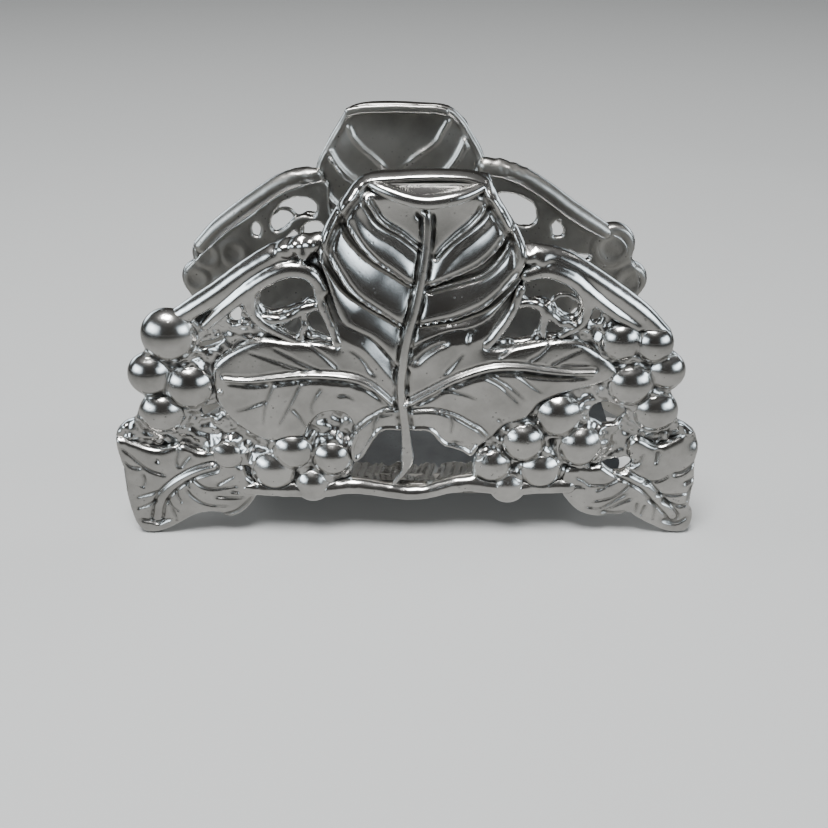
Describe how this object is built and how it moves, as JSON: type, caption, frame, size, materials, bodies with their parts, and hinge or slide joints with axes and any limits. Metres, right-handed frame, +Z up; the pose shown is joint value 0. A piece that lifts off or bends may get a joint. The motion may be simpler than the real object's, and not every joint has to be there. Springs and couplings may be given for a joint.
{
  "type": "napkin holder",
  "caption": "Upright cast aluminium napkin holder with openwork leaf and grape panels joined by a low base plate.",
  "frame": {"origin": "middle of the footprint, on the table surface under the four foot tips", "axes": "+X along the panels, left to right seen from the front panel; +Y from the front panel to the back panel; +Z up"},
  "size_m": [0.1792, 0.0858, 0.1184],
  "materials": {
    "polished_aluminium": "bright hand-polished cast metal, with darker grey left in the grooves",
    "rough_cast_aluminium": "unpolished sand-cast metal in the recesses, grainy and dull",
    "satin_aluminium": "coarsely ground and buffed cast metal"
  },
  "bodies": {
    "root": {"front_leaf": "polished_aluminium", "front_leaf_ribs": "polished_aluminium", "front_leaf_stalk": "polished_aluminium", "front_vine_left": "polished_aluminium", "front_vine_right": "polished_aluminium", "front_bottom_vine": "polished_aluminium", "front_tendrils": "rough_cast_aluminium", "front_grapes_left": "polished_aluminium", "front_grapes_right": "polished_aluminium", "front_web_left": "rough_cast_aluminium", "front_web_right": "rough_cast_aluminium", "front_foot_leaf_left": "polished_aluminium", "front_foot_leaf_right": "polished_aluminium", "front_base_weld": "rough_cast_aluminium", "back_leaf": "polished_aluminium", "back_leaf_ribs": "polished_aluminium", "back_leaf_stalk": "polished_aluminium", "back_vine_left": "polished_aluminium", "back_vine_right": "polished_aluminium", "back_bottom_vine": "polished_aluminium", "back_tendrils": "rough_cast_aluminium", "back_grapes_left": "polished_aluminium", "back_grapes_right": "polished_aluminium", "back_web_left": "rough_cast_aluminium", "back_web_right": "rough_cast_aluminium", "back_foot_leaf_left": "polished_aluminium", "back_foot_leaf_right": "polished_aluminium", "back_base_weld": "rough_cast_aluminium", "base_plate": "satin_aluminium"}
  },
  "joints": []
}
